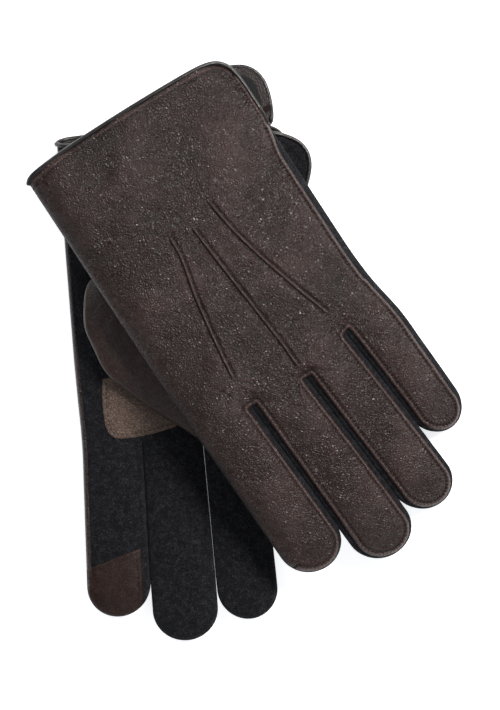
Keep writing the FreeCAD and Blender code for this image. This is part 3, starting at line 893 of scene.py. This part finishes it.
def finger_relief(side, p, seed):
    """Creases across the fingers and puckers round the crotches."""
    k = FORMS[side].finger_of(p)
    w = np.zeros(len(p))
    rng = np.random.default_rng(seed)
    for i, name in enumerate(ORDER):
        x = (p[:, 0] - finger_centre(side, name, p[:, 1])) / finger_half(name, p[:, 1])
        on = (k == i) & (p[:, 1] > 140)
        for _ in range(5):
            v = rng.uniform(158.0, FINGERS[name]["tip"] - 22.0)
            slope, depth = rng.uniform(-5.0, 5.0), rng.uniform(0.12, 0.32)
            centre, reach = rng.uniform(-0.5, 0.5), rng.uniform(0.35, 0.8)
            line = p[:, 1] - v - slope * x - 2.0 * (x - centre) ** 2
            w -= np.where(on, depth * bump(line, 0.9) * bump(x - centre, reach), 0.0)
    for i, v in enumerate(SLITS):
        u = (finger_centre(side, ORDER[i], v) + finger_half(ORDER[i], v) + 0.5)
        du, dv = p[:, 0] - u, p[:, 1] - v
        r, a = np.hypot(du, dv), np.arctan2(du, -dv)
        w += 0.20 * np.sin(9.0 * a + i) * np.exp(-((r - 7.5) / 4.0) ** 2) * (dv < 4)
    return w


# ---- panels
def leather_rim(side):
    """The leather back's edge from the index fingertip round to the vent, less its inset."""
    edge, cuff = FORMS[side].edge, cuff_edge(True)
    sewn = edge[:, :2] + normals_of(edge[:, :2]) * edge[:, 2:3]
    first = int(np.argmax(edge[:, 2] > 0.5))
    return sewn, np.concatenate([sewn[first:], cuff[1:30]])


def back_height(side, p, rim):
    """w of the leather back with its relief, and its rubbing plus painted light and shade."""
    form, cuff = FORMS[side], cuff_edge(True)
    e, s, _ = nearest(p, rim)
    w = form.surface(p, True)
    if side == "right":
        return w + np.minimum(0.2 * seam_relief(e, s, RIM_PITCH), 0.0), np.zeros(len(p))
    c = nearest(p, cuff)[0]
    calm = ease(2.0, 9.0, form.border(p))
    sewn = seam_relief(e, s, RIM_PITCH) + tuck_relief(p)
    sewn = sewn + 0.30 * bump(c - 2.1, 0.8) - 0.34 * bump(c - HEM_INSET, 0.45)
    soft = calm * crease_relief(p, 11)
    soft = soft + ease(1.0, 5.0, form.border(p)) * finger_relief(side, p, 7)
    soft = 1.1 * np.tanh(soft / 1.1)
    # second value: crests pale as rubbing plus painted highlight; grooves and hollows painted shade
    return w + sewn + soft, 1.3 * sewn + 0.22 * soft


def palm_height(side, p):
    """w of the wool palm, with its relief."""
    form = FORMS[side]
    e = nearest(p, form.edge)[0]
    calm = ease(0.0, 5.0, form.border(p))
    relief = calm * (0.30 * waves(p, 30.0, 6, 21) + 0.12 * waves(p, 6.5, 9, 22))
    relief = relief - 0.40 * bump(e - 3.1, 0.8) * ease(120.0, 150.0, p[:, 1])
    return form.surface(p, False) - relief - calm * 0.6 * finger_relief(side, p, 17)


def strip_height(side, p):
    """w of the wool beside and under the leather back's edge."""
    form = FORMS[side]
    off = form.border(p)
    relief = 0.08 * waves(p, 6.0, 8, 23) * ease(0.0, 4.0, off)
    return form.surface(p, True) - LEATHER_RISE * ease(0.0, 1.5, off) + relief


def back_leather(side):
    """The leather back with its finger strips, turned edges, tucks and stitches."""
    shown, cuff = side == "left", cuff_edge(True)
    sewn, rim = leather_rim(side)
    loop = resample(np.concatenate([sewn, cuff[1:]]), 0.5 if shown else 1.8)[:-1]
    if shown:
        rings = (0.12, 0.35, 0.65, 0.95, 1.3, 1.65, 2.0, 2.4, 2.9, 3.6)
        rows = (-2.6, -1.9, -1.4, -1.0, -0.65, -0.35, 0.0, 0.35, 0.65, 1.0, 1.4, 1.9, 2.6)
        p, tri = fill(loop, rings, 1.05, [curve(t, 0.8) for t in TUCKS], rows)
    else:
        p, tri = fill(loop, (0.12, 0.5, 1.4, 3.0), 2.6)
    w, painted_light_and_rub = back_height(side, p, rim)
    uvw = np.column_stack([p, w])
    tri = face_up(uvw, tri, True)

    def rimmed(q):
        return nearest(q, rim)[0] < 0.05

    uvw, tri = turned_edge(uvw, tri, rimmed, True, LEATHER_RISE + 0.5)
    layers = [(uvw, tri, LEATHER)]
    if shown:
        layers.append(rim_stitches(side, rim, cuff))
    nodes = {name: [name + "_back"] for name in ORDER}
    nodes["hand"] = ["back_panel"] + (["back_points"] if shown else [])
    return make(side, "back_leather", layers, nodes, painted_light_and_rub=painted_light_and_rub)


def rim_stitches(side, rim, cuff):
    """Thread along the fingers' edges, and along the hem."""
    form = FORMS[side]

    def lie(q):
        return back_height(side, q, rim)[0] + 0.08

    fine = resample(rim, 0.4)
    rows = [stitches(fine + inward(fine, form) * RIM_INSET, lie, RIM_PITCH, 1.15, 0.72,
                     along=fine)]
    hem = cuff[30:-3]
    rows.append(stitches(hem + normals_of(hem) * HEM_INSET, lie, HEM_PITCH, 2.0, 0.62))
    points, faces = joined(rows)
    return points, faces, THREAD


def inward(line, form):
    """Unit vectors off a line, turned towards where the glove is."""
    n = normals_of(line)
    middle = len(line) // 2
    probe = line[middle:middle + 1]
    closer = form.border(probe + n[middle] * 1.5)[0] > form.border(probe - n[middle] * 1.5)[0]
    return n if closer else -n


def wool_palm(side):
    """The wool palm, the fingers' sides, and the strip that shows beside the leather back."""
    form, shown = FORMS[side], side == "right"
    edge = form.edge[:, :2]
    rings = (0.06, 0.2, 0.5, 1.0, 1.7, 2.6, 3.8)
    loop = np.concatenate([edge, cuff_edge(False)[1:-1]])
    p, tri = fill(loop, rings, 1.15 if shown else 2.4)
    palm = np.column_stack([p, palm_height(side, p)])
    loop = np.concatenate([edge, cuff_edge(True)[1:-1]])
    q, strip_tri = fill(loop, rings + (STRIP_REACH,), 3.0)
    strip_tri = strip_tri[nearest(q[strip_tri].mean(1), form.wall)[0] < STRIP_REACH]
    strip = np.column_stack([q, strip_height(side, q)])
    high, low = strip_height(side, edge), palm_height(side, edge)
    side_rows = [np.column_stack([edge, low + (high - low) * k / 4.0]) for k in range(5)]
    sheets = [(palm, face_up(palm, tri, False)), (strip, face_up(strip, strip_tri, True)),
              (np.concatenate(side_rows), lattice(len(edge), 5))]
    uvw, tri = weld(*joined(sheets))
    nodes = {name: [name + "_palm", name + "_fourchettes"] for name in ORDER}
    nodes["hand"] = ["palm_panel"]
    return make(side, "wool", [(uvw, tri, WOOL)], nodes)


def lattice(count, rows):
    """Triangles between rows of points, each row with the same count."""
    tri = []
    for i in range(rows - 1):
        a = i * count + np.arange(count - 1)
        tri += [np.stack([a, a + 1, a + 1 + count], 1), np.stack([a, a + 1 + count, a + count], 1)]
    return np.concatenate(tri)


def wrap_strip(side):
    """Where the leather back comes round the index edge and is sewn to the palm."""
    form = FORMS[side]
    stop = int(np.argmax(form.edge[:, 2] > 0.5))
    outer = form.edge[:stop, :2]
    k = np.arange(stop)
    width = 2.6 * ease(-6.0, 10.0, k) * ease(-4.0, 14.0, stop - 1.0 - k)
    width = np.maximum(width, 0.4)[:, None]
    inner = outer + normals_of(outer) * width
    rows = []
    for share in (0.0, 0.03, 0.1, 0.25, 0.45, 0.65, 0.82, 0.94, 1.0):
        q = outer + (inner - outer) * share
        proud = 0.5 * math.sin(math.pi * min(1.0, share * 1.15 + 0.02)) ** 0.5
        proud = proud * ease(0.0, 0.25, share) if share < 1.0 else -0.3
        rows.append(np.column_stack([q, palm_height(side, q) - proud]))
    grid = np.concatenate(rows)
    tri = face_up(grid, lattice(stop, len(rows)), False)

    def lie(q):
        return palm_height(side, q) - 0.42

    row = outer + (inner - outer) * 0.66
    points, faces = stitches(row[6:-6], lie, 2.4, 1.4, 0.4, up=-1.0)
    return make(side, "index_edge", [(grid, tri, LEATHER), (points, faces, THREAD)], {})


def overlay(side, name, loop, material, height, nodes, sewn, pitch=2.2):
    """A flat piece sewn on the palm face: its outline, and the part of it that is stitched."""
    p, tri = fill(loop, (0.25, 0.6, 1.0, 1.5, 2.1, 2.8), 1.2)
    e, s, _ = nearest(p, sewn)
    raised = height + 0.8 * seam_relief(e, s, pitch * 2, 0.3)
    calm = waves(p, 16.0, 6, 31) * 0.08
    uvw = np.column_stack([p, palm_height(side, p) - raised - calm])
    tri = face_up(uvw, tri, False)
    uvw, tri = turned_edge(uvw, tri, lambda q: np.ones(len(q), bool), False, height + 0.25, 0.2)

    def lie(q):
        return palm_height(side, q) - height + 0.02

    n = normals_of(sewn)
    if np.linalg.norm(sewn + n - loop.mean(0)) > np.linalg.norm(sewn - n - loop.mean(0)):
        n = -n
    points, faces = stitches(sewn + n * 1.75, lie, pitch, pitch * 0.66, 0.42, up=-1.0)
    return make(side, name, [(uvw, tri, material), (points, faces, THREAD)], nodes)


def touch_tip(side):
    """Conductive leather cap on the palm face of the index fingertip."""
    edge = FORMS[side].edge
    tip = FINGERS["index"]["tip"]
    peak = int(np.argmax(edge[:, 1] > tip - 0.2))
    low_left, low_right = 206.5, 198.7      # v where its edge meets the finger's two sides
    left = edge[:peak][edge[:peak, 1] > low_left]
    right = edge[peak:]
    right = right[:int(np.argmax(right[:, 1] < low_right))]
    left_in = left[:, :2] + normals_of(left[:, :2]) * 0.35
    inset = 0.5 + 3.2 * ease(tip - 1.0, tip - 14.0, right[:, 1])
    right_in = right[:, :2] + normals_of(right[:, :2]) * inset[:, None]
    top = resample(np.array([right_in[-1], left_in[0]]), 0.9)[1:-1]
    loop = resample(np.concatenate([left_in, right_in, top, left_in[:1]]), 0.9)[:-1]
    straight = right_in[right_in[:, 1] < tip - 6.0]
    sewn = np.concatenate([straight, top])
    return overlay(side, "touch_tip", loop, TOUCH, 0.35, {"index": ["touch_tip"]},
                   sewn, pitch=2.0)


def palm_patch(side):
    """Leather reinforcement below the thumb."""
    corners = ((12.4, 116.0), (11.6, 124.0), (11.6, 132.0), (12.2, 139.0), (15.0, 143.6),
               (20.0, 145.0), (30.0, 144.4), (40.0, 142.6), (47.0, 140.4), (50.0, 137.0))
    sewn = curve(corners, 0.9)
    loop = np.concatenate([sewn, curve(((50.0, 137.0), (44.0, 122.0), (30.0, 114.5),
                                        (12.4, 116.0)), 0.9)[1:-1]])
    return overlay(side, "palm_patch", loop, PATCH, 0.3, {"hand": ["palm_patch"]},
                   sewn)


def inner_bag(side):
    """The knitted lining, and the leather facing round the inside of the cuff."""
    form = FORMS[side]
    sheets = {"lining": [], "facing": []}
    for back in (True, False):
        edge = form.edge[:, :2]
        inner = edge + normals_of(edge) * LINING_SINK
        cuff = cuff_edge(back)
        cuff_in = cuff + normals_of(cuff) * 0.3
        loop = np.concatenate([inner, cuff_in[2:-2]])
        p, tri = fill(loop, (0.1, 0.4, 1.2, 2.4, FLAP_FACING), 2.0)
        w = form.surface(p, back, LINING_SINK)
        soft = 0.15 * waves(p, 14.0, 6, 41)
        uvw = np.column_stack([p, w + (soft if back else -soft) * ease(0, 8, form.border(p))])
        tri = face_up(uvw, tri, not back)
        middle = uvw[tri].mean(1)
        in_flap = (middle[:, 0] > 98.0) & (middle[:, 1] > 2.0) & (not back)
        near_cuff = nearest(middle[:, :2], cuff)[0] < np.where(in_flap, FLAP_FACING, CUFF_FACING)
        for part, chosen in (("facing", near_cuff), ("lining", ~near_cuff)):
            sheets[part].append((uvw, tri[chosen]))
    linings = {name: [name + "_lining"] for name in ORDER}
    linings["hand"] = ["hand_lining"]
    for part, material, nodes, slot in (
            ("lining", KNIT, linings, "lining_knit"),
            ("facing", FACING, {"hand": ["cuff_facing", "vent_facing"]}, "trim_leather")):
        uvw, tri = joined(sheets[part])
        uvw, tri = weld(uvw, tri)
        used, tri = np.unique(tri, return_inverse=True)
        make(side, part, [(uvw[used], tri.reshape(-1, 3), material)], nodes)


def bindings(side):
    """The rolled leather edges of the cuff."""
    form = FORMS[side]
    for back in (True, False):
        cuff = cuff_edge(back)
        w = form.surface(cuff, back)
        inner = form.surface(cuff, back, BINDING_HIGH)
        w = 0.6 * w + 0.4 * inner
        if side == "right":
            w = np.minimum(w, REST_CUT - BINDING_HIGH)
        path = np.column_stack([cuff - normals_of(cuff) * 0.3, w])
        points, faces = tube(resample(path, 0.9), BINDING_WIDE, BINDING_HIGH)
        name = "cuff_binding_back" if back else "cuff_binding_palm"
        make(side, name, [(points, faces, BOUND)], {"hand": [name]}, split=False)


# ---- thumb
class Thumb:
    """The pressed thumb: a closed tube with a rounded base and tip."""

    def __init__(self, side):
        self.side = side
        spot = THUMB[side]
        self.start = spot["start"]
        self.spot = np.array(spot["at"])
        a = math.radians(spot["angle"])
        self.along = np.array([math.cos(a), math.sin(a)])
        self.across = np.array([-math.sin(a), math.cos(a)])

    def point(self, s, degrees, sink):
        """(u, v, w) at a distance along the thumb and an angle round it."""
        table = np.array(THUMB_PROFILE, float)
        spread = np.array([-5.0, -2.5, 0.0, 2.5, 5.0])[:, None] + s
        centre = np.interp(spread, table[:, 0], table[:, 1]).mean(0)
        half = np.interp(spread, table[:, 0], table[:, 2]).mean(0)
        base = np.clip((13.0 - (s - self.start)) / 13.0, 0.0, 1.0)
        tip = np.clip((15.0 - (THUMB_TIP - s)) / 15.0, 0.0, 1.0)
        k = np.sqrt(1.0 - np.maximum(base, tip) ** 2)
        c, d = np.cos(np.radians(degrees)), np.sin(np.radians(degrees))
        q = centre + np.sign(c) * np.abs(c) ** (2 / THUMB_POWER) * np.maximum(half - sink, 0.1) * k
        w = np.sign(d) * np.abs(d) ** (2 / THUMB_POWER) * (THUMB_THICK - sink) * k ** 0.8
        uv = self.spot + np.outer(s, self.along) + q[:, None] * self.across
        arch = -ARCH[self.side] * ((uv[:, 0] - ARCH_CENTRE) / ARCH_SPAN) ** 2
        return np.column_stack([uv, THUMB_LEVEL + w + arch])

    def shell(self, first, last, sink=0.0, relief=True):
        """Half of the thumb between two angles."""
        t = np.linspace(0.0, 1.0, 90)
        s = self.start + (THUMB_TIP - self.start) * (0.5 - 0.5 * np.cos(math.pi * t))
        a = np.linspace(first, last, 40)
        ss, aa = np.meshgrid(s, a, indexing="ij")
        uvw = self.point(ss.ravel(), aa.ravel(), sink)
        if relief:
            mask = np.abs(np.sin(np.radians(aa.ravel())))
            up = np.sign(np.sin(np.radians((first + last) / 2)))
            near = np.minimum(aa.ravel() - first, last - aa.ravel()) * 0.26
            uvw[:, 2] += up * (0.18 * waves(uvw[:, :2], 22.0, 6, 51) * mask
                               + 0.06 * waves(uvw[:, :2], 6.0, 8, 52) * mask
                               + 0.30 * bump(near - 0.9, 0.8) - 0.22 * bump(near - 2.4, 0.6))
        return uvw, lattice(len(a), len(s))


def thumbs(side):
    thumb = Thumb(side)
    for name, first, last in (("thumb_outer", 180.0, 360.0), ("thumb_inner", 0.0, 180.0)):
        uvw, tri = thumb.shell(first, last)
        tri = face_up(uvw, tri, name == "thumb_inner")
        make(side, name, [(uvw, tri, SMOOTH)], {"hand": [name]}, split=False)
    halves = [thumb.shell(a, a + 180.0, THUMB_LINING_SINK, False) for a in (0.0, 180.0)]
    uvw, tri = weld(*joined([(p, face_up(p, t, k == 1)) for k, (p, t) in enumerate(halves)]))
    make(side, "thumb_lining", [(uvw, tri, KNIT)], {"hand": ["thumb_lining"]},
         split=False)


# ---- the pair
for side in ("right", "left"):
    back_leather(side)
    wool_palm(side)
    wrap_strip(side)
    inner_bag(side)
    bindings(side)
    palm_patch(side)
    touch_tip(side)
    thumbs(side)


# ---- floor, light, camera
def floor():
    data = bpy.data.meshes.new("floor")
    half = 3.0
    data.from_pydata([(-half, -half, 0), (half, -half, 0), (half, half, 0), (-half, half, 0)],
                     [], [(0, 1, 2, 3)])
    data.materials.append(paper("ground"))
    obj = bpy.data.objects.new("floor", data)
    obj.location.z = -0.0002
    bpy.context.scene.collection.objects.link(obj)


def area_light(name, place, size, power, colour):
    """A soft light that points at the gloves."""
    data = bpy.data.lights.new(name, "AREA")
    data.size = size
    data.energy = power
    data.color = colour
    obj = bpy.data.objects.new(name, data)
    obj.location = place
    obj.rotation_euler = (Vector((0.0, 0.0, 0.02)) - Vector(place)).to_track_quat("-Z", "Y").to_euler()
    bpy.context.scene.collection.objects.link(obj)


def lights():
    world = bpy.data.worlds.new("studio")
    world.use_nodes = True
    sky = world.node_tree.nodes["Background"].inputs
    sky["Color"].default_value = (0.92, 0.95, 1.0, 1.0)
    sky["Strength"].default_value = 0.14
    bpy.context.scene.world = world
    area_light("key", (0.78, 0.55, 1.05), 0.5, 25.0, (1.0, 0.975, 0.95))
    area_light("fill", (-0.7, 0.8, 1.0), 0.7, 4.0, (0.96, 0.98, 1.0))
    area_light("low", (0.1, -1.1, 1.0), 0.8, 4.0, (0.95, 0.97, 1.0))
    bpy.context.scene.view_settings.view_transform = "Standard"


VIEW_CENTRE = (84.0, -109.8, 22.0)   # the middle of the picture: right glove's u and -v, height
VIEW_HEIGHT = 0.3397             # what the picture's height spans at the gloves' mid-height
VIEW_DISTANCE = 1.3
VIEW_ROLL = -4.5


def camera():
    data = bpy.data.cameras.new("camera")
    data.sensor_width = 36.0
    data.lens = data.sensor_width * VIEW_DISTANCE / VIEW_HEIGHT
    data.clip_start, data.clip_end = 0.05, 20.0
    obj = bpy.data.objects.new("camera", data)
    centre = (np.array(VIEW_CENTRE) + SHIFT) / 1000.0
    obj.location = (centre[0], centre[1], centre[2] + VIEW_DISTANCE)
    obj.rotation_euler = (0.0, 0.0, math.radians(VIEW_ROLL))
    bpy.context.scene.collection.objects.link(obj)
    bpy.context.scene.camera = obj


floor()
lights()
camera()
